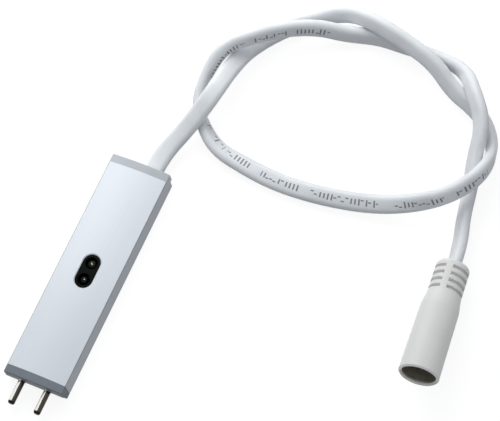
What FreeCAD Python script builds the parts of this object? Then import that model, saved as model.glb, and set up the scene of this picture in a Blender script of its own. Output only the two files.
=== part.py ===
import FreeCAD, Part
import math
import os

from FreeCAD import Placement, Rotation, Vector

# Contactless sensor switch for cabinet lights: a slim aluminium housing with two contact pins,
# a flat cable in two loose loops, and a round moulded connector. Millimetres.
# The origin is the middle of the housing's back. +Y points to the cable end, +Z out of the face.

# Housing
HOUSING_WIDTH = 20.0
HOUSING_HEIGHT = 6.5
FACE_CROWN = 0.8
PROFILE_LENGTH = 72.0
FACE_WALL = 1.0
SIDE_WALL = 1.2
EDGE_ROUND = 0.4
RIB_DEPTH = 0.8
RIB_HEIGHT = 0.7
COVER_THICKNESS = 1.3
SIDE_CLEARANCE = 0.1

# End caps
CAP_LIP_LENGTH = 2.75
CAP_FOOT_LENGTH = 1.85
CAP_LIP_HEIGHT = 3.25
CAP_PLUG_DEPTH = 5.0
CAP_ROUND = 0.35
CAP_RIM_ROUND = 0.3

# Sensor window
WINDOW_LENGTH = 11.4
WINDOW_WIDTH = 5.7
WINDOW_CHAMFER = 0.3
BEZEL_CLEARANCE = 0.06
BEZEL_RECESS = 0.25
BEZEL_FLANGE = 1.0
BEZEL_FLANGE_HEIGHT = 0.8
WELL_SPACING = 5.6
WELL_DIAMETER = 4.0
WELL_DEPTH = 2.6

# Infrared pair
LENS_DIAMETER = 3.0
LENS_FLANGE_DIAMETER = 3.8
LENS_FLANGE_HEIGHT = 0.6
LENS_BELOW_FACE = 0.35
LEAD_WIDTH = 0.45
LEAD_SPACING = 2.54
LEAD_BELOW_BOARD = 0.5

# Circuit board
BOARD_THICKNESS = 1.0
BOARD_SIDE_CLEARANCE = 0.2
BOARD_END_GAP = 1.2
LEAD_HOLE_DIAMETER = 0.8
COLUMN_INSET = 4.0
CHIP_STANDOFF = 0.1
CHIP_LEG_WIDTH = 0.4
CHIP_LEG_REACH = 0.9
CHIP_LEG_HEIGHT = 0.25

# What the board carries: name, column, place along Y, length along Y, width and height
BOARD_PARTS = (
    ("control_chip", "middle", 13.0, 4.9, 3.9, 1.5),
    ("switching_transistor", "middle", -19.5, 6.4, 3.5, 1.6),
    ("voltage_regulator", "left", 17.6, 2.9, 1.6, 1.1),
    ("smoothing_capacitor", "right", -13.2, 7.3, 4.3, 2.0),
    ("chip_resistor_1", "left", -11.0, 1.25, 2.0, 0.5),
    ("chip_resistor_2", "left", -13.4, 1.25, 2.0, 0.5),
    ("chip_resistor_3", "left", 9.2, 1.25, 2.0, 0.5),
    ("chip_capacitor_1", "right", 9.6, 1.25, 2.0, 0.9),
    ("chip_capacitor_2", "right", 12.4, 1.25, 2.0, 0.9),
)
COLUMN_SIDE = {"left": -1, "middle": 0, "right": 1}
LEG_COUNT = {"control_chip": 4, "switching_transistor": 3, "voltage_regulator": 3}

# Contact pins
PIN_DIAMETER = 2.2
PIN_LENGTH = 7.8
PIN_SPACING = 8.8
PIN_TIP_ROUND = 0.7
PIN_SHANK_DIAMETER = 2.6
PIN_COLLAR_DIAMETER = 3.2
PIN_COLLAR_LENGTH = 0.8
PIN_TAIL_WIDTH = 1.2
PIN_TAIL_THICKNESS = 0.8
PIN_TAIL_LENGTH = 4.0

# Flat cable
CABLE_WIDTH = 5.9
CABLE_THICKNESS = 3.4
CABLE_OFFSET = 3.6
CABLE_STRAIGHT = 6.25
CABLE_CLEARANCE = 0.05
CORE_DIAMETER = 2.0
CORE_SPACING = 2.2
STRAND_DIAMETER = 0.8
CORE_LENGTH = 2.6
STRAND_LENGTH = 4.9
GRIP_LENGTH = 3.4
GRIP_SIDE_CLEARANCE = 0.2
SHEATH_STUB = 0.6

# Connector, measured along its own axis from the end of the boot
CONNECTOR_LENGTH = 38.3
BOOT_DIAMETER = 10.5
BOOT_LENGTH = 10.6
BOOT_ROUND = 1.0
FLARE_LENGTH = 4.6
FLARE_ROUND = 12.0
BODY_DIAMETER = 11.9
MOUTH_DIAMETER = 12.5
MOUTH_ROUND = 0.45
RIB_SLOT_COUNT = 4
RIB_SLOT_PITCH = 2.37
RIB_SLOT_WIDTH = 1.1
RIB_SLOT_DEPTH = 1.2
RIB_SLOT_START = 2.0
RIB_WEB = 2.0
SLEEVE_DIAMETER = 11.2
SLEEVE_WALL = 0.85
SLEEVE_MOUTH_DIAMETER = 10.6
SLEEVE_MOUTH_LENGTH = 5.4
SLEEVE_LENGTH = 15.4
SLEEVE_RECESS = 0.6
SLEEVE_CLEARANCE = 0.05
CAVITY_DEPTH = 22.0
INSULATOR_LENGTH = 5.0
SOCKET_PIN_DIAMETER = 2.0
SOCKET_PIN_REACH = 4.5
SOCKET_PIN_TAIL = 3.5
TAG_WIDTH = 1.6
TAG_THICKNESS = 0.3
TAG_LENGTH = 5.0
CONNECTOR_CORE_LENGTH = 1.2
TAG_JOINT_SETBACK = 2.0
JOINT_LENGTH = 1.5

# Pose of the connector: it leans up off the heel of its boot, pushed by the stiff cable
CONNECTOR_TILT = 8.0
CONNECTOR_HEADING = 7.3
CONNECTOR_ROLL = -4.5
CONNECTOR_X = 102.95
CONNECTOR_Y = 43.5
CONNECTOR_STRAIGHT = 7.5

# The cable's route between its two straight ends: two loose loops laid through each other.
# Where a strand crosses over another, two points hold it up, one on each side of the crossing.
CABLE_ROUTE = (
    (8.2, 55.9, 6.1),
    (11.7, 66.7, 11.9),
    (13.2, 77.8, 8.0),
    (13.3, 88.9, 2.3),
    (20.3, 98.5, 3.3),
    (28.8, 106.0, 3.2),
    (38.6, 111.2, 4.6),
    (50.3, 108.3, 10.4),
    (62.0, 105.6, 9.5),
    (71.7, 102.4, 8.6),
    (80.0, 97.5, 4.0),
    (88.4, 95.0, 3.8),
    (95.1, 89.8, 3.0),
    (100.9, 81.5, 5.2),
    (99.6, 70.4, 10.8),
    (92.9, 61.8, 10.0),
    (82.6, 57.3, 6.1),
    (71.1, 53.7, 2.8),
    (56.6, 51.5, 2.3),
    (41.5, 50.0, 2.1),
    (29.0, 51.6, 1.9),
    (18.8, 53.5, 2.6),
    (11.3, 58.9, 3.0),
    (5.5, 66.1, 3.0),
    (4.9, 75.0, 5.2),
    (8.1, 83.5, 9.9),
    (14.9, 89.8, 9.9),
    (22.6, 96.5, 9.0),
    (32.0, 101.7, 7.1),
    (41.1, 104.3, 3.6),
    (50.4, 107.1, 3.1),
    (61.0, 107.0, 3.2),
    (71.1, 107.7, 3.0),
    (81.0, 105.3, 4.7),
    (87.8, 96.7, 11.7),
    (94.4, 88.1, 10.5),
    (93.8, 77.6, 5.4),
    (97.5, 69.7, 2.9),
    (99.1, 60.1, 3.0),
)
ARC_SHARE = 0.45
ROUTE_STEP = 1.0
LOOP_APART = 25.0

# Worked out from the sizes above
INNER_WIDTH = HOUSING_WIDTH - 2 * SIDE_WALL
INNER_TOP = HOUSING_HEIGHT - FACE_WALL
FACE_TOP = HOUSING_HEIGHT + FACE_CROWN
HALF_PROFILE = PROFILE_LENGTH / 2
CAP_END = HALF_PROFILE + CAP_LIP_LENGTH
PLUG_END = HALF_PROFILE - CAP_PLUG_DEPTH
RIB_BOTTOM = COVER_THICKNESS
BOARD_BOTTOM = RIB_BOTTOM + RIB_HEIGHT
BOARD_TOP = BOARD_BOTTOM + BOARD_THICKNESS
BOARD_WIDTH = INNER_WIDTH - 2 * BOARD_SIDE_CLEARANCE
AXIS_HEIGHT = HOUSING_HEIGHT / 2
GRIP_END = PLUG_END - GRIP_LENGTH
SHEATH_END = GRIP_END - SHEATH_STUB
CORE_END = SHEATH_END - CORE_LENGTH
BOARD_REAR = CORE_END - CABLE_CLEARANCE
BOARD_FRONT = -PLUG_END + BOARD_END_GAP
LENS_TOP = FACE_TOP - LENS_BELOW_FACE
LENS_RADIUS = LENS_DIAMETER / 2
CABLE_AREA = (CABLE_WIDTH - CABLE_THICKNESS) * CABLE_THICKNESS + math.pi * CABLE_THICKNESS**2 / 4

X_AXIS = Vector(1, 0, 0)
Y_AXIS = Vector(0, 1, 0)
Z_AXIS = Vector(0, 0, 1)

NODES = {}


def keep(name, shape):
    """Names one finished piece."""
    NODES[name] = shape.removeSplitter()


def block(x_range, y_range, z_range):
    """A box between the given limits."""
    low = Vector(x_range[0], y_range[0], z_range[0])
    return Part.makeBox(x_range[1] - low.x, y_range[1] - low.y, z_range[1] - low.z, low)


def centred(width, middle=0.0):
    """Limits of a width about its middle."""
    return middle - width / 2, middle + width / 2


def cylinder(diameter, start, along, length):
    """A round bar from a point along a direction."""
    return Part.makeCylinder(diameter / 2, length, start, along)


def pill_wire(width, height, centre, across, up):
    """Outline with two straight sides and two half-round ends, its width along 'across'."""
    reach = across * ((width - height) / 2)
    rise = up * (height / 2)
    tip = across * (width / 2)
    corners = [centre + reach + rise, centre - reach + rise, centre - reach - rise, centre + reach - rise]
    return Part.Wire([
        Part.LineSegment(corners[0], corners[1]).toShape(),
        Part.Arc(corners[1], centre - tip, corners[2]).toShape(),
        Part.LineSegment(corners[2], corners[3]).toShape(),
        Part.Arc(corners[3], centre + tip, corners[0]).toShape(),
    ])


def pill_bar(width, height, start, along, length, across, up):
    """A straight bar of pill section."""
    return Part.Face(pill_wire(width, height, start, across, up)).extrude(along * length)


def window_pill(length, width, bottom, top):
    """An upright oval plug at the window, its length along the housing."""
    return pill_bar(length, width, Vector(0, 0, bottom), Z_AXIS, top - bottom, Y_AXIS, X_AXIS)


def turned(profile):
    """A solid turned about Z from its half outline, given as (radius, height) corners."""
    points = [Vector(r, 0, z) for r, z in profile]
    return Part.Face(Part.makePolygon(points + points[:1])).revolve(Vector(), Z_AXIS, 360)


def edges_within(shape, x_range, y_range, z_range):
    """Edges of a shape that lie wholly inside a box."""
    near = 1e-3
    found = []
    for edge in shape.Edges:
        box = edge.BoundBox
        inside = box.XMin > x_range[0] - near and box.XMax < x_range[1] + near
        inside = inside and box.YMin > y_range[0] - near and box.YMax < y_range[1] + near
        if inside and box.ZMin > z_range[0] - near and box.ZMax < z_range[1] + near:
            found.append(edge)
    return found


def crowned_bar(half_length):
    """A bar of the housing's outer section: flat back and sides, and a face that rises to its middle."""
    half = HOUSING_WIDTH / 2
    low = [Vector(x, -half_length, 0) for x in (-half, half)]
    high = [Vector(x, -half_length, HOUSING_HEIGHT) for x in (-half, half)]
    outline = Part.Wire([
        Part.LineSegment(low[0], high[0]).toShape(),
        Part.Arc(high[0], Vector(0, -half_length, FACE_TOP), high[1]).toShape(),
        Part.LineSegment(high[1], low[1]).toShape(),
        Part.LineSegment(low[1], low[0]).toShape(),
    ])
    return Part.Face(outline).extrude(Y_AXIS * 2 * half_length)


def body_profile():
    """Channel with a crowned face, side walls and two ribs that carry the board."""
    half = HOUSING_WIDTH / 2
    body = crowned_bar(HALF_PROFILE)
    top = (HOUSING_HEIGHT, HOUSING_HEIGHT)
    for x in (-half, half):
        body = body.makeFillet(EDGE_ROUND, edges_within(body, (x, x), centred(PROFILE_LENGTH), top))
    inside = block(centred(INNER_WIDTH), centred(PROFILE_LENGTH), (0, INNER_TOP))
    body = body.cut(inside)
    for side in (-1, 1):
        across = centred(RIB_DEPTH, side * (INNER_WIDTH - RIB_DEPTH) / 2)
        body = body.fuse(block(across, centred(PROFILE_LENGTH), (RIB_BOTTOM, BOARD_BOTTOM)))
    body = body.cut(window_pill(WINDOW_LENGTH, WINDOW_WIDTH, INNER_TOP, FACE_TOP))
    body = body.removeSplitter()
    rim = edges_within(body, centred(WINDOW_WIDTH), centred(WINDOW_LENGTH), (HOUSING_HEIGHT, FACE_TOP))
    keep("body_profile", body.makeChamfer(WINDOW_CHAMFER, rim))


def base_cover():
    """Strip that closes the back between the side walls, under the ribs."""
    width = INNER_WIDTH - 2 * SIDE_CLEARANCE
    keep("base_cover", block(centred(width), centred(PROFILE_LENGTH), (0, COVER_THICKNESS)))


def cap_blank(side):
    """A cap without its holes: a lip over a set-back foot, and a plug with notches for the ribs."""
    half = HOUSING_WIDTH / 2
    face = side * HALF_PROFILE
    lip = face + side * CAP_LIP_LENGTH
    foot = face + side * CAP_FOOT_LENGTH
    outline = Part.makePolygon([
        Vector(-half, face, 0),
        Vector(-half, foot, 0),
        Vector(-half, foot, CAP_LIP_HEIGHT),
        Vector(-half, lip, CAP_LIP_HEIGHT),
        Vector(-half, lip, FACE_TOP),
        Vector(-half, face, FACE_TOP),
        Vector(-half, face, 0),
    ])
    cap = Part.Face(outline).extrude(X_AXIS * HOUSING_WIDTH).common(crowned_bar(CAP_END))
    for x in (-half, half):
        for y in (lip, foot):
            cap = cap.makeFillet(CAP_ROUND, edges_within(cap, (x, x), (y, y), (0, HOUSING_HEIGHT)))
    rim_depth = sorted((face + side * CAP_ROUND, lip))
    rim = edges_within(cap, centred(HOUSING_WIDTH), rim_depth, (HOUSING_HEIGHT, FACE_TOP))
    for x in (-half, half):
        rim += edges_within(cap, (x, x), sorted((face, lip)), (HOUSING_HEIGHT, HOUSING_HEIGHT))
    cap = cap.makeFillet(CAP_RIM_ROUND, rim)
    plug_width = INNER_WIDTH - 2 * SIDE_CLEARANCE
    depth = sorted((face, side * PLUG_END))
    plug = block(centred(plug_width), depth, (COVER_THICKNESS + SIDE_CLEARANCE, INNER_TOP - SIDE_CLEARANCE))
    notch_width = RIB_DEPTH + SIDE_CLEARANCE
    for x_side in (-1, 1):
        middle = x_side * (INNER_WIDTH - notch_width) / 2
        plug = plug.cut(block(centred(notch_width, middle), depth, (0, BOARD_BOTTOM + SIDE_CLEARANCE)))
    return cap.fuse(plug)


def front_end_cap():
    """Front cap with a bore for each contact pin."""
    cap = cap_blank(-1)
    for x in centred(PIN_SPACING):
        bore = cylinder(PIN_SHANK_DIAMETER, Vector(x, -CAP_END, AXIS_HEIGHT), Y_AXIS, CAP_END - PLUG_END)
        cap = cap.cut(bore)
    keep("front_end_cap", cap)


def cable_hole(start, length):
    """The space that the sheath takes, with its clearance, along Y from a point."""
    grow = 2 * CABLE_CLEARANCE
    centre = Vector(CABLE_OFFSET, start, AXIS_HEIGHT)
    return pill_bar(CABLE_WIDTH + grow, CABLE_THICKNESS + grow, centre, Y_AXIS, length, X_AXIS, Z_AXIS)


def rear_end_cap():
    """Rear cap with the cable's hole, off the middle."""
    keep("rear_end_cap", cap_blank(1).cut(cable_hole(PLUG_END, CAP_END - PLUG_END)))


def sensor_bezel():
    """Oval insert with an inner flange and a well for each lens."""
    top = FACE_TOP - BEZEL_RECESS
    flange_bottom = INNER_TOP - BEZEL_FLANGE_HEIGHT
    length = WINDOW_LENGTH - 2 * BEZEL_CLEARANCE
    width = WINDOW_WIDTH - 2 * BEZEL_CLEARANCE
    bezel = window_pill(length, width, top - WELL_DEPTH, top)
    wider = 2 * BEZEL_FLANGE
    flange = window_pill(WINDOW_LENGTH + wider, WINDOW_WIDTH + wider, flange_bottom, INNER_TOP)
    bezel = bezel.fuse(flange)
    for y in centred(WELL_SPACING):
        bezel = bezel.cut(cylinder(WELL_DIAMETER, Vector(0, y, top - WELL_DEPTH), Z_AXIS, WELL_DEPTH))
    keep("sensor_bezel", bezel)


def lens(name, y):
    """Domed diode body standing on the board, under its well."""
    dome_centre = LENS_TOP - LENS_RADIUS
    flange = cylinder(LENS_FLANGE_DIAMETER, Vector(0, y, BOARD_TOP), Z_AXIS, LENS_FLANGE_HEIGHT)
    barrel = cylinder(LENS_DIAMETER, Vector(0, y, BOARD_TOP), Z_AXIS, dome_centre - BOARD_TOP)
    dome = Part.makeSphere(LENS_RADIUS, Vector(0, y, dome_centre), Z_AXIS, 0, 90, 360)
    keep(name, flange.fuse(barrel).fuse(dome))


def leads(name, y):
    """Two square leads under a diode, through the board."""
    bottom = BOARD_BOTTOM - LEAD_BELOW_BOARD
    for number, x in enumerate(centred(LEAD_SPACING), 1):
        bar = block(centred(LEAD_WIDTH, x), centred(LEAD_WIDTH, y), (bottom, BOARD_TOP))
        keep(f"{name}_{number}", bar)


def circuit_board():
    """Board on the ribs, with a hole for each diode lead."""
    board = block(centred(BOARD_WIDTH), (BOARD_FRONT, BOARD_REAR), (BOARD_BOTTOM, BOARD_TOP))
    for y in centred(WELL_SPACING):
        for x in centred(LEAD_SPACING):
            start = Vector(x, y, BOARD_BOTTOM)
            board = board.cut(cylinder(LEAD_HOLE_DIAMETER, start, Z_AXIS, BOARD_THICKNESS))
    keep("circuit_board", board)


def board_part(name, column, y, length, width, height):
    """A component flat on the board: a plain block, or a moulded body on legs along both long sides."""
    x = COLUMN_SIDE[column] * (BOARD_WIDTH / 2 - COLUMN_INSET)
    legs = LEG_COUNT.get(name, 0)
    standoff = CHIP_STANDOFF if legs else 0
    part = block(centred(width, x), centred(length, y), (BOARD_TOP + standoff, BOARD_TOP + height))
    for number in range(legs):
        leg_y = y + (number - (legs - 1) / 2) * length / legs
        across = centred(width + 2 * CHIP_LEG_REACH, x)
        along = centred(CHIP_LEG_WIDTH, leg_y)
        part = part.fuse(block(across, along, (BOARD_TOP, BOARD_TOP + CHIP_LEG_HEIGHT)))
    keep(name, part)


def contact_pins():
    """Round-tipped pins on thicker shanks in the front cap, each with a flat tail on the board."""
    visible_end = CAP_END + PIN_LENGTH
    for number, x in enumerate(centred(PIN_SPACING), 1):
        shaft = cylinder(PIN_DIAMETER, Vector(x, -visible_end, AXIS_HEIGHT), Y_AXIS, PIN_LENGTH)
        rim = (x - PIN_DIAMETER, x + PIN_DIAMETER)
        tip = edges_within(shaft, rim, (-visible_end, -visible_end), (0, HOUSING_HEIGHT))
        shaft = shaft.makeFillet(PIN_TIP_ROUND, tip)
        shank = cylinder(PIN_SHANK_DIAMETER, Vector(x, -CAP_END, AXIS_HEIGHT), Y_AXIS, CAP_END - PLUG_END)
        collar = cylinder(PIN_COLLAR_DIAMETER, Vector(x, -PLUG_END, AXIS_HEIGHT), Y_AXIS, PIN_COLLAR_LENGTH)
        collar_end = -PLUG_END + PIN_COLLAR_LENGTH
        tail = block(
            centred(PIN_TAIL_WIDTH, x),
            (collar_end, collar_end + PIN_TAIL_LENGTH),
            (BOARD_TOP, BOARD_TOP + PIN_TAIL_THICKNESS),
        )
        keep(f"contact_pin_{number}", shaft.fuse([shank, collar, tail]))


def cable_end_in_housing():
    """The sheath's end through the rear cap, its two cores and their bare strands on the board."""
    start = Vector(CABLE_OFFSET, SHEATH_END, AXIS_HEIGHT)
    sheath = pill_bar(CABLE_WIDTH, CABLE_THICKNESS, start, Y_AXIS, CAP_END - SHEATH_END, X_AXIS, Z_AXIS)
    keep("housing_sheath", sheath)
    strand_height = BOARD_TOP + STRAND_DIAMETER / 2
    for number, x in enumerate(centred(CORE_SPACING, CABLE_OFFSET), 1):
        core = cylinder(CORE_DIAMETER, Vector(x, SHEATH_END, AXIS_HEIGHT), -Y_AXIS, CORE_LENGTH)
        keep(f"housing_core_{number}", core)
        strand = cylinder(STRAND_DIAMETER, Vector(x, CORE_END, strand_height), -Y_AXIS, STRAND_LENGTH)
        keep(f"housing_strand_{number}", strand)


def cable_grip():
    """Block behind the rear cap that holds the sheath, resting on the base cover."""
    height = (COVER_THICKNESS, INNER_TOP - SIDE_CLEARANCE)
    reach = INNER_WIDTH / 2 - RIB_DEPTH - GRIP_SIDE_CLEARANCE - CABLE_OFFSET
    grip = block(centred(2 * reach, CABLE_OFFSET), (GRIP_END, PLUG_END), height)
    keep("cable_grip", grip.cut(cable_hole(GRIP_END, GRIP_LENGTH)))


def connector_axes():
    """Across, up and mouth-ward directions of the connector as it lies."""
    tilt = math.radians(CONNECTOR_TILT)
    heading = math.radians(CONNECTOR_HEADING)
    forward = Vector(
        math.sin(heading) * math.cos(tilt), -math.cos(heading) * math.cos(tilt), math.sin(tilt)
    )
    level = forward.cross(Z_AXIS).normalize()
    upward = level.cross(forward).normalize()
    roll = math.radians(CONNECTOR_ROLL)
    across = level * math.cos(roll) + upward * math.sin(roll)
    return across, forward.cross(across).normalize(), forward


def connector_placement():
    """Puts the connector's own frame, boot end at its origin and mouth along Z, where it lies."""
    across, up, forward = connector_axes()
    return Placement(boot_centre(), Rotation(across, up, forward, "ZXY"))


def boot_centre():
    """Middle of the boot's end face, its heel on the floor."""
    tilt = math.radians(CONNECTOR_TILT)
    height = BOOT_DIAMETER / 2 * math.cos(tilt) - BOOT_ROUND * math.sin(tilt)
    return Vector(CONNECTOR_X, CONNECTOR_Y, height)


def keep_connector(name, shape):
    """Names one connector piece, moved from the connector's own frame to its place."""
    shape = shape.removeSplitter()
    shape.Placement = connector_placement()
    keep(name, shape)


def connector_outline():
    """Half outline of the moulding: boot, flare and slightly tapered body."""
    boot = BOOT_DIAMETER / 2
    mouth = MOUTH_DIAMETER / 2
    return [
        (0, 0),
        (boot - BOOT_ROUND, 0),
        (boot - BOOT_ROUND * 0.3, BOOT_ROUND * 0.3),
        (boot, BOOT_ROUND),
        (boot, BOOT_LENGTH),
        (BODY_DIAMETER / 2, BOOT_LENGTH + FLARE_LENGTH),
        (mouth, CONNECTOR_LENGTH - MOUTH_ROUND),
        (mouth - MOUTH_ROUND, CONNECTOR_LENGTH),
        (0, CONNECTOR_LENGTH),
    ]


def rib_slots():
    """Pairs of arc slots round the boot, parted by a web above and one below."""
    slots = []
    floor = BOOT_DIAMETER - 2 * RIB_SLOT_DEPTH
    for number in range(RIB_SLOT_COUNT):
        start = Vector(0, 0, RIB_SLOT_START + number * RIB_SLOT_PITCH)
        ring = cylinder(BODY_DIAMETER, start, Z_AXIS, RIB_SLOT_WIDTH)
        ring = ring.cut(cylinder(floor, start, Z_AXIS, RIB_SLOT_WIDTH))
        web = block(centred(RIB_WEB), centred(BODY_DIAMETER), (start.z, start.z + RIB_SLOT_WIDTH))
        slots.append(ring.cut(web))
    return slots


def connector():
    """Moulded shell with its metal socket, insulator and centre pin, and the cable's end inside."""
    cavity_start = CONNECTOR_LENGTH - CAVITY_DEPTH
    sleeve_end = CONNECTOR_LENGTH - SLEEVE_RECESS
    sleeve_start = sleeve_end - SLEEVE_LENGTH
    sleeve_bore = SLEEVE_DIAMETER - 2 * SLEEVE_WALL
    grow = 2 * CABLE_CLEARANCE

    shell = turned(connector_outline())
    for height in (BOOT_LENGTH, BOOT_LENGTH + FLARE_LENGTH):
        around = centred(BODY_DIAMETER)
        shell = shell.makeFillet(FLARE_ROUND, edges_within(shell, around, around, (height, height)))
    shell = shell.cut(
        cylinder(SLEEVE_DIAMETER + 2 * SLEEVE_CLEARANCE, Vector(0, 0, cavity_start), Z_AXIS, CAVITY_DEPTH)
    )
    hole = Part.Face(pill_wire(CABLE_WIDTH + grow, CABLE_THICKNESS + grow, Vector(), Y_AXIS, X_AXIS))
    shell = shell.cut(hole.extrude(Z_AXIS * cavity_start))
    for slot in rib_slots():
        shell = shell.cut(slot)
    keep_connector("connector_shell", shell)

    sleeve = cylinder(SLEEVE_DIAMETER, Vector(0, 0, sleeve_start), Z_AXIS, SLEEVE_LENGTH)
    sleeve = sleeve.cut(cylinder(sleeve_bore, Vector(0, 0, sleeve_start), Z_AXIS, SLEEVE_LENGTH))
    sleeve_mouth = Vector(0, 0, sleeve_end - SLEEVE_MOUTH_LENGTH)
    sleeve = sleeve.cut(cylinder(SLEEVE_MOUTH_DIAMETER, sleeve_mouth, Z_AXIS, SLEEVE_MOUTH_LENGTH))
    keep_connector("socket_sleeve", sleeve)

    pin_hole = cylinder(SOCKET_PIN_DIAMETER, Vector(0, 0, sleeve_start), Z_AXIS, INSULATOR_LENGTH)
    insulator = cylinder(sleeve_bore, Vector(0, 0, sleeve_start), Z_AXIS, INSULATOR_LENGTH)
    keep_connector("socket_insulator", insulator.cut(pin_hole))

    pin_start = sleeve_start - SOCKET_PIN_TAIL
    pin_length = SOCKET_PIN_TAIL + INSULATOR_LENGTH + SOCKET_PIN_REACH
    socket_pin = cylinder(SOCKET_PIN_DIAMETER, Vector(0, 0, pin_start), Z_AXIS, pin_length)
    around = centred(SOCKET_PIN_DIAMETER)
    tip = edges_within(socket_pin, around, around, (pin_start + pin_length, pin_start + pin_length))
    keep_connector("socket_pin", socket_pin.makeFillet(SOCKET_PIN_DIAMETER / 4, tip))

    tag_middle = -(sleeve_bore + SLEEVE_DIAMETER) / 4
    tag = block(
        centred(TAG_WIDTH), centred(TAG_THICKNESS, tag_middle), (sleeve_start - TAG_LENGTH, sleeve_start)
    )
    keep_connector("sleeve_tag", tag)

    connector_cable_end(cavity_start, pin_start, tag_middle)


def connector_cable_end(cavity_start, pin_start, tag_middle):
    """The sheath in the boot, its cores in the cavity, and a strand to the pin and to the tag."""
    sheath = pill_bar(CABLE_WIDTH, CABLE_THICKNESS, Vector(), Z_AXIS, cavity_start, Y_AXIS, X_AXIS)
    keep_connector("connector_sheath", sheath)
    core_end = cavity_start + CONNECTOR_CORE_LENGTH
    pin_side = (SOCKET_PIN_DIAMETER + STRAND_DIAMETER) / 2
    tag_side = tag_middle + (TAG_THICKNESS + STRAND_DIAMETER) / 2
    tag_joint = CONNECTOR_LENGTH - SLEEVE_RECESS - SLEEVE_LENGTH - TAG_JOINT_SETBACK
    joints = (
        (CORE_SPACING / 2, Vector(0, pin_side, pin_start)),
        (-CORE_SPACING / 2, Vector(0, tag_side, tag_joint)),
    )
    for number, (y, joint) in enumerate(joints, 1):
        core = cylinder(CORE_DIAMETER, Vector(0, y, cavity_start), Z_AXIS, CONNECTOR_CORE_LENGTH)
        keep_connector(f"connector_core_{number}", core)
        start = Vector(0, y, core_end)
        reach = joint - start
        strand = cylinder(STRAND_DIAMETER, start, reach, reach.Length)
        bend = Part.makeSphere(STRAND_DIAMETER / 2, joint)
        strand = strand.fuse([bend, cylinder(STRAND_DIAMETER, joint, Z_AXIS, JOINT_LENGTH)])
        keep_connector(f"connector_strand_{number}", strand.cut(core))


def route_points():
    """Every point of the cable's route, from the rear cap to the boot."""
    start = Vector(CABLE_OFFSET, CAP_END, AXIS_HEIGHT)
    forward = connector_axes()[2]
    end = boot_centre()
    middle = [Vector(*point) for point in CABLE_ROUTE]
    return [start, start + Y_AXIS * CABLE_STRAIGHT] + middle + [end - forward * CONNECTOR_STRAIGHT, end]


def cable_path(points):
    """Straight runs joined by tangent arcs, each as large as its two runs allow, and the arcs' radii."""
    edges = []
    radii = []
    at = points[0]
    for before, corner, after in zip(points, points[1:], points[2:]):
        back = before - corner
        ahead = after - corner
        reach = ARC_SHARE * min(back.Length, ahead.Length)
        back.normalize()
        ahead.normalize()
        half_turn = (math.pi - back.getAngle(ahead)) / 2
        radius = reach / math.tan(half_turn)
        centre = corner + (back + ahead).normalize() * math.hypot(radius, reach)
        nearest = centre + (corner - centre).normalize() * radius
        arc_start = corner + back * reach
        arc_end = corner + ahead * reach
        edges.append(Part.LineSegment(at, arc_start).toShape())
        edges.append(Part.Arc(arc_start, nearest, arc_end).toShape())
        radii.append(radius)
        at = arc_end
    edges.append(Part.LineSegment(at, points[-1]).toShape())
    return Part.Wire(edges), radii


def least_gap(wire):
    """Least gap between strands of the cable that lie far apart along it, from points on the path."""
    count = int(wire.Length / ROUTE_STEP)
    points = wire.discretize(Number=count)
    flat = CABLE_WIDTH - CABLE_THICKNESS
    apart = int(LOOP_APART / ROUTE_STEP)
    gap = wire.Length
    for first in range(count):
        for second in range(first + apart, count):
            between = points[second] - points[first]
            beside = max(math.hypot(between.x, between.y) - flat, 0)
            gap = min(gap, math.hypot(beside, between.z) - CABLE_THICKNESS)
    return gap


def supply_cable():
    """The free cable: a flat section kept level along its route."""
    wire, radii = cable_path(route_points())
    section = pill_wire(CABLE_WIDTH, CABLE_THICKNESS, route_points()[0], X_AXIS, Z_AXIS)
    sweep = Part.BRepOffsetAPI.MakePipeShell(wire)
    sweep.setBiNormalMode(Z_AXIS)
    sweep.add(section, False, False)
    sweep.build()
    sweep.makeSolid()
    cable = sweep.shape()
    NODES["supply_cable"] = cable
    print("cable arc radii:", [round(radius, 1) for radius in radii])
    print("cable length:", round(wire.Length, 1), "mm")
    print("cable volume:", round(cable.Volume, 1), "mm3")
    print("section times length:", round(CABLE_AREA * wire.Length, 1), "mm3")
    print("least gap between strands:", round(least_gap(wire), 2), "mm")


def main():
    body_profile()
    base_cover()
    front_end_cap()
    rear_end_cap()
    sensor_bezel()
    circuit_board()
    for name, side in (("emitter", 1), ("receiver", -1)):
        lens(f"ir_{name}", side * WELL_SPACING / 2)
        leads(f"{name}_lead", side * WELL_SPACING / 2)
    for part in BOARD_PARTS:
        board_part(*part)
    contact_pins()
    cable_end_in_housing()
    cable_grip()
    connector()
    supply_cable()
    os.makedirs("parts", exist_ok=True)
    for name, shape in NODES.items():
        if not shape.isValid() or len(shape.Solids) != 1:
            raise ValueError(f"{name} is not one valid solid")
        shape.exportStep(f"parts/{name}.step")
    print(len(NODES), "pieces")


main()
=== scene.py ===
import math

import bmesh
import bpy
from mathutils import Matrix, Vector


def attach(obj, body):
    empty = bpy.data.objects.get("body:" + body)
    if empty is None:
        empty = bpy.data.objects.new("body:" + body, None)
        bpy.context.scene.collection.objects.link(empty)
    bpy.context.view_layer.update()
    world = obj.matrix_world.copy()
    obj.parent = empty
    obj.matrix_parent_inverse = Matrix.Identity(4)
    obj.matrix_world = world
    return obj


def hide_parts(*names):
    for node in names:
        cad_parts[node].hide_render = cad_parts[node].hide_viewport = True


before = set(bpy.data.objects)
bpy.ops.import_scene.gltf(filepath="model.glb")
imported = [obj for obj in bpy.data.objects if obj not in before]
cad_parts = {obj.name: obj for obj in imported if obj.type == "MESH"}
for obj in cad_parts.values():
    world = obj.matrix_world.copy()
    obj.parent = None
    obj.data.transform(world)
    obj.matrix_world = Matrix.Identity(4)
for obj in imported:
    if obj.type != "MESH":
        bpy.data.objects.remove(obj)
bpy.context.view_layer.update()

MM = 0.001
BODY = "root"

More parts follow.
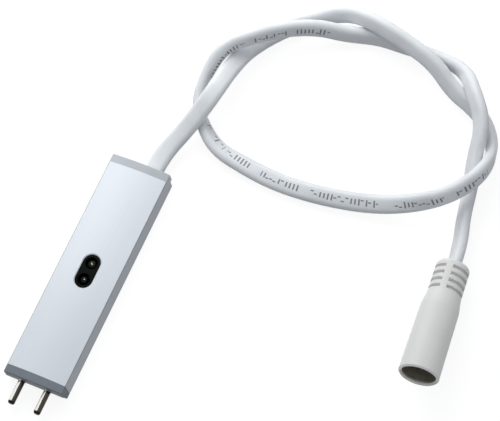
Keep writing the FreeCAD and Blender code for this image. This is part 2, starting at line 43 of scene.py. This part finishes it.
# The photograph's view, from a least-squares fit of the housing's corners
CAMERA_PLACE = (0.24335, -0.19819, 0.70743)
CAMERA_RIGHT = (0.9022, 0.4126, -0.1257)
CAMERA_UP = (-0.3384, 0.8578, 0.3868)
CAMERA_BACK = (0.2674, -0.3065, 0.9135)
CAMERA_LENS = 180.0
SENSOR_WIDTH = 36.0
NEAREST_SEEN = 0.05
FARTHEST_SEEN = 20

# Sizes that this scene shares with the solids, in metres
CABLE_WIDTH = 5.9 * MM
CABLE_THICKNESS = 3.4 * MM
HOUSING_WIDTH = 20.0 * MM
PIN_SPACING = 8.8 * MM
PIN_TIP = 46.55 * MM
CONNECTOR_LENGTH = 38.3 * MM
SLEEVE_RECESS = 0.6 * MM
LENS_TOP = 6.95 * MM
LENS_OFFSET = 2.8 * MM
CONNECTOR_TILT = math.radians(8)
CONNECTOR_HEADING = math.radians(7.3)
BOOT_END = (0.10295, 0.0435, 0.00506)

# The cable's route in metres. Except for two at each end, its points weren't chosen by hand. A least-squares
# fit to the cable's middle line, as measured in the photograph, gave the part's points. A search on the
# cable's outline then moved eighteen of them level, by up to 1.4 mm
CABLE_ROUTE = (
    (0.0036, 0.03875, 0.00325),
    (0.0036, 0.0450, 0.00325),
    (0.0082, 0.0559, 0.0061),
    (0.0124, 0.0666, 0.0119),
    (0.0125, 0.0779, 0.0080),
    (0.0133, 0.0889, 0.0023),
    (0.0206, 0.0983, 0.0033),
    (0.0290, 0.1057, 0.0032),
    (0.0386, 0.1112, 0.0046),
    (0.0503, 0.1083, 0.0104),
    (0.0620, 0.1056, 0.0095),
    (0.0718, 0.1027, 0.0086),
    (0.0801, 0.0978, 0.0040),
    (0.0883, 0.0949, 0.0038),
    (0.0954, 0.0900, 0.0030),
    (0.1002, 0.0813, 0.0052),
    (0.0996, 0.0704, 0.0108),
    (0.0929, 0.0618, 0.0100),
    (0.0827, 0.0570, 0.0061),
    (0.0711, 0.0537, 0.0028),
    (0.0567, 0.0510, 0.0023),
    (0.0415, 0.0500, 0.0021),
    (0.0290, 0.0516, 0.0019),
    (0.0187, 0.0533, 0.0026),
    (0.0113, 0.0589, 0.0030),
    (0.0058, 0.0662, 0.0030),
    (0.0054, 0.0749, 0.0052),
    (0.0081, 0.0835, 0.0099),
    (0.0148, 0.0899, 0.0099),
    (0.0227, 0.0963, 0.0090),
    (0.0320, 0.1017, 0.0071),
    (0.0411, 0.1043, 0.0036),
    (0.0504, 0.1071, 0.0031),
    (0.0610, 0.1070, 0.0032),
    (0.0711, 0.1074, 0.0030),
    (0.0810, 0.1053, 0.0047),
    (0.0878, 0.0967, 0.0117),
    (0.0944, 0.0881, 0.0105),
    (0.0952, 0.0778, 0.0054),
    (0.0975, 0.0697, 0.0029),
    (0.0991, 0.0601, 0.0030),
    (0.102006, 0.050867, 0.004016),
    (0.10295, 0.0435, 0.00506),
)

# The order of the route's spline, and its steps between two points
ROUTE_ORDER = 3
ROUTE_STEPS = 14

# How far the printed face of the flat cable has turned from facing up, by distance along it:
# millimetres from the housing, degrees. A search on the outline came first, and most of its turns were
# then changed one by one
CABLE_TWIST = (
    (0, 180), (24, 178), (40, 158), (52, 156), (64, 138), (78, 114), (88, 116), (100, 122), (112, 128),
    (124, 126), (132, 132), (145, 120), (160, 98), (172, 62), (184, 62), (196, 38), (208, 22), (232, 12),
    (244, 6), (256, -24), (264, -50), (276, -90), (284, -102), (292, -88), (300, -86), (308, -76),
    (316, -76), (324, -68), (332, -64), (352, -72), (364, -86), (372, -86), (380, -66), (388, -58),
    (404, -48), (426, -59), (440, -54), (447, -62),
)

# How many times the turns are smoothed along the cable
TWIST_SMOOTHING = 24

# Where the printed face carries its marks, in millimetres from the housing
PRINT_RUNS = (
    (168, 180), (183, 199), (204, 226), (229, 243), (247, 256), (257.6, 259.8),
    (261.4, 263.6), (266, 268.2), (284, 303), (306, 317), (320, 331),
)

# The marks themselves: one tick or dash in each step. Their lengths along the cable are shares of a step.
# A step's chance runs from 0 to 1: the larger it is, the taller the tick, and the further across the dash
MARK_STEP = 1.25 * MM
TICK_LENGTH = 0.4
TICK_REACH = 0.72 * MM
TICK_REACH_BY_CHANCE = 0.6 * MM
DASH_LENGTH = 0.8
DASH_REACH = 0.2 * MM
DASH_PLACE = 2.9 * MM
DASH_PLACE_BY_CHANCE = -3.6 * MM
DASHES_FROM_CHANCE = 0.62
INK_COVER = 0.8

# How far in from the housing's sides the painted shade of its edge line and of its side walls begins
HOUSING_EDGE_SHADE = 0.25 * MM
HOUSING_SIDE_SHADE = 0.03 * MM

# Lengths of the pins' painted dark tip, a painted dark reflection, and of the sleeve's painted rim highlight
PAINTED_DARK_TIP_LENGTH = 0.9 * MM
SLEEVE_RIM_HIGHLIGHT = 0.5 * MM

# The pins' painted highlight, a bright streak, in shares of the pins' spacing
HIGHLIGHT_PLACE = 0.455
HIGHLIGHT_REACH = (0.04, 0.06)

# Painted glints on the two lenses: place across and along the housing, and radius
EMITTER_GLINTS = (
    ((0.1 * MM, LENS_OFFSET - 0.1 * MM), 0.2 * MM),
    ((0.45 * MM, LENS_OFFSET - 0.3 * MM), 0.16 * MM),
)
RECEIVER_GLINTS = (
    ((0.2 * MM, -LENS_OFFSET), 0.15 * MM),
    ((0.75 * MM, -LENS_OFFSET + 0.2 * MM), 0.15 * MM),
)

# Floor, sky and lamps. A lamp has a name, a direction from the object, a distance, a side and a power
STAGE_MIDDLE = (0.05, 0.04, 0.0)
FLOOR_REACH = 3.0
FLOOR_DROP = 0.2 * MM
FLOOR_COLOUR = (0.2, 0.2, 0.205, 1)
FLOOR_GLOW = 0.88
SKY_COLOUR = (0.93, 0.96, 1.0, 1)
SKY_STRENGTH = 0.42
LAMPS = (
    ("key", (-0.5, 0.62, 0.6), 0.33, 0.34, 1.05),
    ("overhead", (0.35, 0.0, 0.9), 1.0, 1.3, 1.15),
)


# Node materials

class Shader:
    """A material's node tree, with short calls for the nodes used here."""

    def __init__(self, name):
        self.material = bpy.data.materials.new(name)
        self.material.use_nodes = True
        self.nodes = self.material.node_tree.nodes
        self.links = self.material.node_tree.links
        self.surface = self.nodes["Principled BSDF"]
        self.place = self.nodes.new("ShaderNodeTexCoord").outputs["Object"]

    def put(self, socket, value):
        """Links a node's output to a socket, or sets the socket's own value."""
        if isinstance(value, bpy.types.NodeSocket):
            self.links.new(value, socket)
        else:
            socket.default_value = value

    def set(self, **values):
        """Sets sockets of the surface by name, with _ for a space."""
        for name, value in values.items():
            self.put(self.surface.inputs[name.replace("_", " ")], value)
        return self

    def math(self, operation, *values):
        """The result of one maths node on sockets or numbers."""
        node = self.nodes.new("ShaderNodeMath")
        node.operation = operation
        for socket, value in zip(node.inputs, values):
            self.put(socket, value)
        return node.outputs[0]

    def noise(self, scale, detail=3.0, stretch=(1, 1, 1)):
        """Noise over the object's own coordinates, scale in cells a metre."""
        mapping = self.nodes.new("ShaderNodeMapping")
        mapping.inputs["Scale"].default_value = stretch
        self.links.new(self.place, mapping.inputs["Vector"])
        node = self.nodes.new("ShaderNodeTexNoise")
        node.inputs["Scale"].default_value = scale
        node.inputs["Detail"].default_value = detail
        self.links.new(mapping.outputs[0], node.inputs["Vector"])
        return node.outputs["Fac"]

    def range(self, value, low, high):
        """Maps 0.3 to 0.7 of a noise onto low to high."""
        node = self.nodes.new("ShaderNodeMapRange")
        node.inputs["From Min"].default_value = 0.3
        node.inputs["From Max"].default_value = 0.7
        node.inputs["To Min"].default_value = low
        node.inputs["To Max"].default_value = high
        self.put(node.inputs["Value"], value)
        return node.outputs[0]

    def blend(self, fac, first, second):
        """Mixes two colours."""
        node = self.nodes.new("ShaderNodeMix")
        node.data_type = "RGBA"
        self.put(node.inputs[0], fac)
        self.put(node.inputs[6], first)
        self.put(node.inputs[7], second)
        return node.outputs[2]

    def bump(self, height, depth):
        """Bump of a given depth in metres."""
        node = self.nodes.new("ShaderNodeBump")
        node.inputs["Strength"].default_value = 1.0
        node.inputs["Distance"].default_value = depth
        self.put(node.inputs["Height"], height)
        self.links.new(node.outputs[0], self.surface.inputs["Normal"])
        return self

    def axis(self, letter):
        """One of the object's own coordinates, in metres."""
        node = self.nodes.new("ShaderNodeSeparateXYZ")
        self.links.new(self.place, node.inputs[0])
        return node.outputs[letter]

    def distance_along(self, origin, direction):
        """Distance from a point along a direction, in metres."""
        away = self.nodes.new("ShaderNodeVectorMath")
        away.operation = "SUBTRACT"
        self.links.new(self.place, away.inputs[0])
        away.inputs[1].default_value = origin
        along = self.nodes.new("ShaderNodeVectorMath")
        along.operation = "DOT_PRODUCT"
        self.links.new(away.outputs[0], along.inputs[0])
        along.inputs[1].default_value = direction
        return along.outputs["Value"]

    def within(self, centre, radius):
        """One inside a small ball, nought outside it."""
        node = self.nodes.new("ShaderNodeVectorMath")
        node.operation = "DISTANCE"
        self.links.new(self.place, node.inputs[0])
        node.inputs[1].default_value = centre
        return self.math("LESS_THAN", node.outputs["Value"], radius)

    def attribute(self, name):
        """A number that the mesh carries at its points."""
        node = self.nodes.new("ShaderNodeAttribute")
        node.attribute_name = name
        return node.outputs["Fac"]


def colour(red, green, blue):
    """A colour written in display values of 0 to 255."""
    linear = []
    for value in (red, green, blue):
        value /= 255
        linear.append(value / 12.92 if value <= 0.04045 else ((value + 0.055) / 1.055) ** 2.4)
    return (*linear, 1.0)


def moulded(name, base, roughness, grain=1800, depth=8e-6, vary=0.06):
    """Moulded plastic: a fine grain, with a little variation of tone and gloss."""
    shader = Shader(name)
    dark = tuple(c * (1 - vary) for c in base[:3]) + (1.0,)
    cloud = shader.range(shader.noise(90), 0, 1)
    shader.set(Base_Color=shader.blend(cloud, dark, base))
    shader.set(Roughness=shader.range(shader.noise(grain), roughness - 0.05, roughness + 0.05))
    return shader.bump(shader.noise(grain, 4), depth)


def metal(name, base, roughness, scale=900, depth=3e-6):
    """Bare or plated metal with fine working marks."""
    shader = Shader(name)
    marks = shader.noise(scale)
    dark = tuple(c * 0.9 for c in base[:3]) + (1.0,)
    shader.set(Metallic=1.0, Base_Color=shader.blend(shader.range(marks, 0, 1), dark, base))
    shader.set(Roughness=shader.range(marks, roughness * 0.75, roughness * 1.25))
    return shader.bump(marks, depth)


def anodised():
    """Drawn aluminium with a satin anodised skin: faint lines along it, and painted shade on its edges and
    sides.
    """
    shader = Shader("satin_anodised")
    lines = shader.noise(1, 2, (5200, 26, 5200))
    cloud = shader.range(shader.noise(30, 1, (1, 0.7, 1)), 0, 0.6)
    tone = shader.blend(shader.range(lines, 0, 1), colour(222, 227, 232), colour(217, 222, 228))
    tone = shader.blend(cloud, tone, colour(209, 215, 221))
    from_middle = shader.math("ABSOLUTE", shader.axis("X"))
    # Painted shade: the face's outer strip and the side walls are given darker tones
    edge_shade = shader.math("GREATER_THAN", from_middle, HOUSING_WIDTH / 2 - HOUSING_EDGE_SHADE)
    side = shader.math("GREATER_THAN", from_middle, HOUSING_WIDTH / 2 - HOUSING_SIDE_SHADE)
    tone = shader.blend(edge_shade, tone, colour(150, 154, 160))
    shader.set(Metallic=0.1, Base_Color=shader.blend(side, tone, colour(188, 194, 202)))
    shader.set(Roughness=shader.range(lines, 0.33, 0.41), Specular_IOR_Level=0.2)
    return shader.bump(lines, 1.5e-6)


def cable_sheath(name, printed):
    """Satin PVC with a faint drawn texture. The free cable has runs of plain dark marks on one face."""
    shader = Shader(name)
    pale = colour(233, 236, 238)
    cool = colour(225, 228, 231)
    base = shader.blend(shader.range(shader.noise(120), 0, 1), cool, pale)
    if printed:
        ink = shader.math("MULTIPLY", print_marks(shader), INK_COVER)
        base = shader.blend(ink, base, colour(84, 87, 96))
    shader.set(Base_Color=base, Roughness=shader.range(shader.noise(700), 0.36, 0.46))
    shader.set(Specular_IOR_Level=0.4, Diffuse_Roughness=0.8)
    shader.set(Subsurface_Weight=0.5, Subsurface_Radius=(1, 1, 1), Subsurface_Scale=2 * MM)
    return shader.bump(shader.noise(1500, 4), 6e-6)


def print_marks(shader):
    """Ticks of several heights with short dashes between them, in the runs on the printed face."""
    across = shader.attribute("across")
    step = shader.math("DIVIDE", shader.attribute("along"), MARK_STEP)
    part = shader.math("FRACT", step)
    chance = shader.nodes.new("ShaderNodeTexWhiteNoise")
    chance.noise_dimensions = "1D"
    shader.links.new(shader.math("FLOOR", step), chance.inputs["W"])
    chance = chance.outputs["Value"]
    dashed = shader.math("GREATER_THAN", chance, DASHES_FROM_CHANCE)
    height = shader.math("MULTIPLY_ADD", chance, TICK_REACH_BY_CHANCE, TICK_REACH)
    tick = shader.math("LESS_THAN", shader.math("ABSOLUTE", across), height)
    tick = shader.math("MULTIPLY", tick, shader.math("LESS_THAN", part, TICK_LENGTH))
    place = shader.math("MULTIPLY_ADD", chance, DASH_PLACE_BY_CHANCE, DASH_PLACE)
    from_place = shader.math("ABSOLUTE", shader.math("SUBTRACT", across, place))
    dash = shader.math("LESS_THAN", from_place, DASH_REACH)
    dash = shader.math("MULTIPLY", dash, shader.math("LESS_THAN", part, DASH_LENGTH))
    ticks = shader.math("MULTIPLY", tick, shader.math("SUBTRACT", 1.0, dashed))
    marks = shader.math("ADD", ticks, shader.math("MULTIPLY", dash, dashed))
    inside = shader.math("GREATER_THAN", shader.attribute("printed"), 0.5)
    on_face = shader.math("GREATER_THAN", shader.attribute("face"), 0.0)
    return shader.math("MULTIPLY", marks, shader.math("MULTIPLY", inside, on_face))


def pin_painted_light():
    """Polished nickel, drawn lengthwise, with painted light: a painted highlight streak along a shaft
    darkened as painted dark reflection, and a painted dark tip.
    """
    shader = Shader("pin_nickel")
    fine = shader.noise(1, 2, (7000, 60, 7000))
    # Painted highlight: a bright streak beside each pin's middle. Painted dark reflection: the dark shaft
    # and the darker tip
    across = shader.math("FRACT", shader.math("DIVIDE", shader.axis("X"), PIN_SPACING))
    from_highlight = shader.math("ABSOLUTE", shader.math("SUBTRACT", across, HIGHLIGHT_PLACE))
    painted_highlight = shader.math("LESS_THAN", from_highlight, shader.range(fine, *HIGHLIGHT_REACH))
    painted_dark_tip = shader.math("LESS_THAN", shader.axis("Y"), -PIN_TIP + PAINTED_DARK_TIP_LENGTH)
    shaft = shader.blend(painted_highlight, colour(66, 62, 56), colour(236, 236, 230))
    shader.set(Metallic=1.0, Base_Color=shader.blend(painted_dark_tip, shaft, colour(34, 32, 30)))
    shader.set(Roughness=shader.range(fine, 0.12, 0.2))
    return shader.bump(fine, 2e-6)


def plated_sleeve():
    """Nickel, dull inside the socket and darkened there with painted shade, with a painted highlight at its
    mouth.
    """
    shader = Shader("sleeve_nickel")
    marks = shader.noise(900)
    depth = shader.distance_along(BOOT_END, connector_forward())
    # Painted highlight: a brighter rim at the mouth. Inside, the dull tone is partly the plating's own and
    # partly painted shade
    rim_highlight = shader.math("GREATER_THAN", depth, CONNECTOR_LENGTH - SLEEVE_RECESS - SLEEVE_RIM_HIGHLIGHT)
    dull_and_shaded = shader.blend(shader.range(marks, 0, 1), colour(152, 147, 137), colour(170, 165, 154))
    shader.set(Metallic=0.8, Base_Color=shader.blend(rim_highlight, dull_and_shaded, colour(226, 224, 216)))
    shader.set(Roughness=shader.range(marks, 0.36, 0.5))
    return shader.bump(marks, 3e-6)


def lens_resin(name, base, glints):
    """Dark epoxy in its well, with painted glints: small bright spots on the dome."""
    shader = Shader(name)
    deep = tuple(c * 0.5 for c in base[:3]) + (1.0,)
    tone = shader.blend(shader.range(shader.noise(900), 0, 0.4), base, deep)
    # Painted glints: small bright spots on the dome
    for centre, radius in glints:
        tone = shader.blend(shader.within((*centre, LENS_TOP), radius), tone, colour(240, 242, 236))
    shader.set(Base_Color=tone, Roughness=shader.range(shader.noise(600), 0.04, 0.09))
    shader.set(Specular_IOR_Level=0.1)
    return shader.bump(shader.noise(900), 2e-6)


def board_mask():
    """Green solder mask over faint copper tracks."""
    shader = Shader("solder_mask")
    bands = shader.math("FRACT", shader.math("MULTIPLY", shader.noise(420, 0), 9))
    tracks = shader.math("LESS_THAN", bands, 0.3)
    mask = shader.blend(tracks, colour(18, 92, 52), colour(36, 122, 70))
    shader.set(Base_Color=mask, Roughness=0.38)
    return shader.bump(tracks, 2e-5)


# Shapes

def add_piece(name, mesh, material):
    """A new piece on the part's only body."""
    piece = bpy.data.objects.new(name, mesh)
    bpy.context.scene.collection.objects.link(piece)
    mesh.materials.append(material)
    for polygon in mesh.polygons:
        polygon.use_smooth = True
    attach(piece, BODY)
    return piece


def connector_forward():
    """The direction from the connector's boot to its mouth."""
    level = math.cos(CONNECTOR_TILT)
    return (
        math.sin(CONNECTOR_HEADING) * level,
        -math.cos(CONNECTOR_HEADING) * level,
        math.sin(CONNECTOR_TILT),
    )


# Camera and cable come first

def make_camera():
    """The camera at the photograph's place."""
    data = bpy.data.cameras.new("camera")
    data.lens = CAMERA_LENS
    data.sensor_width = SENSOR_WIDTH
    data.clip_start = NEAREST_SEEN
    data.clip_end = FARTHEST_SEEN
    camera = bpy.data.objects.new("camera", data)
    turn = Matrix((CAMERA_RIGHT, CAMERA_UP, CAMERA_BACK)).transposed()
    camera.matrix_world = Matrix.Translation(CAMERA_PLACE) @ turn.to_4x4()
    bpy.context.scene.collection.objects.link(camera)
    bpy.context.scene.camera = camera


def centreline():
    """Points along the smooth line that the route's NURBS spline gives."""
    data = bpy.data.curves.new("route", "CURVE")
    data.dimensions = "3D"
    spline = data.splines.new("NURBS")
    spline.points.add(len(CABLE_ROUTE) - 1)
    for point, place in zip(spline.points, CABLE_ROUTE):
        point.co = (*place, 1)
    spline.order_u = ROUTE_ORDER
    spline.use_endpoint_u = True
    spline.resolution_u = ROUTE_STEPS
    route = bpy.data.objects.new("route", data)
    mesh = bpy.data.meshes.new_from_object(route)
    points = [vertex.co.copy() for vertex in mesh.vertices]
    bpy.data.objects.remove(route)
    bpy.data.curves.remove(data)
    bpy.data.meshes.remove(mesh)
    return points


def distances(points):
    """Distance of each point along the line."""
    total = [0.0]
    for before, after in zip(points, points[1:]):
        total.append(total[-1] + (after - before).length)
    return total


def twist_at(distance):
    """The cable's turn at a distance along it, between the listed turns."""
    place = distance / MM
    for (low, first), (high, second) in zip(CABLE_TWIST, CABLE_TWIST[1:]):
        if place <= high:
            share = (place - low) / (high - low)
            return math.radians(first + (second - first) * share)
    return math.radians(CABLE_TWIST[-1][1])


def smooth_values(values, passes):
    """Rounds off the corners of a list of numbers, its ends kept."""
    for _ in range(passes):
        inner = [(a + 2 * b + c) / 4 for a, b, c in zip(values, values[1:], values[2:])]
        values = [values[0]] + inner + [values[-1]]
    return values


def section(steps=10):
    """Flat cable section: two half-round edges, joined by flat faces."""
    radius = CABLE_THICKNESS / 2
    reach = CABLE_WIDTH / 2 - radius
    outline = []
    for side in (1, -1):
        for k in range(steps + 1):
            angle = -math.pi / 2 + math.pi * k / steps
            outline.append((side * (reach + radius * math.cos(angle)), side * radius * math.sin(angle)))
    return outline


def cable_mesh(points):
    """The flat cable's skin round its centreline, turned along its length, with its own coordinates."""
    along = distances(points)
    turns = smooth_values([twist_at(distance) for distance in along], TWIST_SMOOTHING)
    outline = section()
    count = len(outline)
    shape = bmesh.new()
    names = ("along", "across", "face", "printed")
    layers = [shape.verts.layers.float.new(name) for name in names]
    rings = []
    for number, point in enumerate(points):
        before = points[max(number - 1, 0)]
        after = points[min(number + 1, len(points) - 1)]
        heading = (after - before).normalized()
        side = heading.cross(Vector((0, 0, 1))).normalized()
        rise = side.cross(heading)
        wide = side * math.cos(turns[number]) + rise * math.sin(turns[number])
        thick = rise * math.cos(turns[number]) - side * math.sin(turns[number])
        printed = any(low <= along[number] / MM <= high for low, high in PRINT_RUNS)
        ring = []
        for x, y in outline:
            vertex = shape.verts.new(point + wide * x + thick * y)
            for layer, value in zip(layers, (along[number], x, y, float(printed))):
                vertex[layer] = value
            ring.append(vertex)
        rings.append(ring)
    for low, high in zip(rings, rings[1:]):
        for k in range(count):
            shape.faces.new((low[k], low[(k + 1) % count], high[(k + 1) % count], high[k]))
    shape.faces.new(rings[0][::-1])
    shape.faces.new(rings[-1])
    bmesh.ops.recalc_face_normals(shape, faces=shape.faces)
    mesh = bpy.data.meshes.new("cable")
    shape.to_mesh(mesh)
    shape.free()
    return mesh


def make_cable():
    """The free cable, a flat skin along its route, in place of the imported supply cable."""
    points = centreline()
    sheath = cable_sheath("printed_sheath", True).material
    cable = add_piece("flat_cable", cable_mesh(points), sheath)
    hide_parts("supply_cable")


# Looks of the solids

def dress(material, *names):
    """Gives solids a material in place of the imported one."""
    for name in names:
        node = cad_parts[name]
        node.data.materials.clear()
        node.data.materials.append(material)


def dress_housing():
    dress(anodised().material, "body_profile")
    dress(moulded("back_strip", colour(168, 172, 176), 0.5).material, "base_cover")
    # Lit and shaded copies of one grey plastic: the rear cap's paler copy is painted light, the front cap's
    # darker copy painted shade
    cap_painted_light = moulded("cap_painted_light", colour(178, 184, 190), 0.32, 2600, 2e-6, 0.14)
    dress(cap_painted_light.material, "rear_end_cap")
    cap_painted_shade = moulded("cap_painted_shade", colour(124, 131, 138), 0.4, 2600, 2e-6, 0.08)
    dress(cap_painted_shade.set(Specular_IOR_Level=0.1).material, "front_end_cap")


def dress_window():
    bezel = moulded("bezel_black", colour(9, 12, 12), 0.14, 1600, 2e-6)
    dress(bezel.set(Specular_IOR_Level=0.06).material, "sensor_bezel")
    emitter = lens_resin("emitter_resin", colour(34, 38, 26), EMITTER_GLINTS)
    dress(emitter.material, "ir_emitter")
    receiver = lens_resin("receiver_resin", colour(12, 12, 16), RECEIVER_GLINTS)
    dress(receiver.material, "ir_receiver")


def dress_board():
    dress(board_mask().material, "circuit_board")
    chip = moulded("chip_black", colour(30, 30, 32), 0.6, 2600, 6e-6)
    dress(chip.material, "control_chip", "switching_transistor", "voltage_regulator")
    resistor = moulded("resistor_black", colour(24, 24, 26), 0.4, 2600, 4e-6)
    dress(resistor.material, "chip_resistor_1", "chip_resistor_2", "chip_resistor_3")
    ceramic = moulded("ceramic", colour(176, 150, 118), 0.5, 2200, 6e-6)
    dress(ceramic.material, "chip_capacitor_1", "chip_capacitor_2")
    tantalum = moulded("tantalum", colour(206, 160, 66), 0.45, 2000, 6e-6)
    dress(tantalum.material, "smoothing_capacitor")


def dress_tinned():
    """The diodes' leads and the sleeve's tag."""
    leads = [f"{kind}_lead_{number}" for kind in ("emitter", "receiver") for number in (1, 2)]
    dress(metal("tinned", colour(198, 198, 194), 0.3).material, "sleeve_tag", *leads)


def dress_cable_ends():
    """Sheath, cores and bare strands inside the cap and inside the connector."""
    dress(cable_sheath("plain_sheath", False).material, "housing_sheath", "connector_sheath")
    red = moulded("core_red", colour(176, 34, 30), 0.4)
    dress(red.material, "housing_core_1", "connector_core_1")
    black = moulded("core_black", colour(28, 28, 30), 0.4)
    dress(black.material, "housing_core_2", "connector_core_2")
    strands = [f"{place}_strand_{number}" for place in ("housing", "connector") for number in (1, 2)]
    dress(metal("copper", colour(206, 140, 96), 0.3, 2400, 2e-5).material, *strands)
    dress(moulded("grip_black", colour(40, 40, 42), 0.5).material, "cable_grip")


def dress_connector():
    """Satin moulded shell, whose rough diffuse keeps its sides from falling dark."""
    shell = moulded("shell_plastic", colour(239, 239, 237), 0.48, 2600, 1.2e-5, 0.04)
    dress(shell.set(Diffuse_Roughness=1.0).material, "connector_shell")
    dress(plated_sleeve().material, "socket_sleeve")
    dress(moulded("insulator_black", colour(34, 32, 30), 0.45).material, "socket_insulator")
    # The centre pin's brass is darkened with painted shade, deep in the socket
    dress(metal("socket_plating_painted_shade", colour(128, 120, 96), 0.4).material, "socket_pin")


def dress_solids():
    dress_housing()
    dress_window()
    dress(pin_painted_light().material, "contact_pin_1", "contact_pin_2")
    dress_board()
    dress_tinned()
    dress_cable_ends()
    dress_connector()


# Studio

def make_floor():
    """A pale floor that keeps the object's shadow and glows white for the camera."""
    shape = bmesh.new()
    bmesh.ops.create_grid(shape, x_segments=1, y_segments=1, size=FLOOR_REACH)
    mesh = bpy.data.meshes.new("floor")
    shape.to_mesh(mesh)
    shape.free()
    floor = bpy.data.objects.new("floor", mesh)
    floor.location = Vector(STAGE_MIDDLE) - Vector((0, 0, FLOOR_DROP))
    bpy.context.scene.collection.objects.link(floor)
    material = bpy.data.materials.new("white_floor")
    material.use_nodes = True
    nodes, links = material.node_tree.nodes, material.node_tree.links
    nodes.clear()
    diffuse = nodes.new("ShaderNodeBsdfDiffuse")
    diffuse.inputs["Color"].default_value = FLOOR_COLOUR
    glow = nodes.new("ShaderNodeEmission")
    links.new(background_rays(nodes, links, FLOOR_GLOW), glow.inputs["Strength"])
    both = nodes.new("ShaderNodeAddShader")
    links.new(diffuse.outputs[0], both.inputs[0])
    links.new(glow.outputs[0], both.inputs[1])
    output = nodes.new("ShaderNodeOutputMaterial")
    links.new(both.outputs[0], output.inputs["Surface"])
    mesh.materials.append(material)


def background_rays(nodes, links, strength):
    """Strength for rays from the camera, and for those that a gloss or a clear piece sends on."""
    path = nodes.new("ShaderNodeLightPath")
    total = path.outputs["Is Camera Ray"]
    for name in ("Is Glossy Ray", "Is Transmission Ray"):
        add = nodes.new("ShaderNodeMath")
        add.operation = "MAXIMUM"
        links.new(total, add.inputs[0])
        links.new(path.outputs[name], add.inputs[1])
        total = add.outputs[0]
    scale = nodes.new("ShaderNodeMath")
    scale.operation = "MULTIPLY"
    links.new(total, scale.inputs[0])
    scale.inputs[1].default_value = strength
    return scale.outputs[0]


def make_world():
    """Even, slightly cool light from all round, and plain white behind the object."""
    world = bpy.data.worlds.new("studio")
    bpy.context.scene.world = world
    world.use_nodes = True
    nodes, links = world.node_tree.nodes, world.node_tree.links
    light = nodes["Background"]
    light.inputs["Color"].default_value = SKY_COLOUR
    light.inputs["Strength"].default_value = SKY_STRENGTH
    white = nodes.new("ShaderNodeBackground")
    white.inputs["Color"].default_value = (1, 1, 1, 1)
    mix = nodes.new("ShaderNodeMixShader")
    links.new(background_rays(nodes, links, 1.0), mix.inputs[0])
    links.new(light.outputs[0], mix.inputs[1])
    links.new(white.outputs[0], mix.inputs[2])
    links.new(mix.outputs[0], nodes["World Output"].inputs["Surface"])


def softbox(name, towards, distance, side, power):
    """A square lamp that faces the object from a given direction."""
    towards = Vector(towards).normalized()
    data = bpy.data.lights.new(name, "AREA")
    data.shape = "RECTANGLE"
    data.size = data.size_y = side
    data.energy = power
    lamp = bpy.data.objects.new(name, data)
    lamp.location = Vector(STAGE_MIDDLE) + towards * distance
    lamp.rotation_mode = "QUATERNION"
    lamp.rotation_quaternion = towards.to_track_quat("Z", "Y")
    bpy.context.scene.collection.objects.link(lamp)


def make_studio():
    make_floor()
    make_world()
    for lamp in LAMPS:
        softbox(*lamp)


bpy.context.scene.view_settings.view_transform = "Standard"
make_camera()
make_cable()
dress_solids()
make_studio()
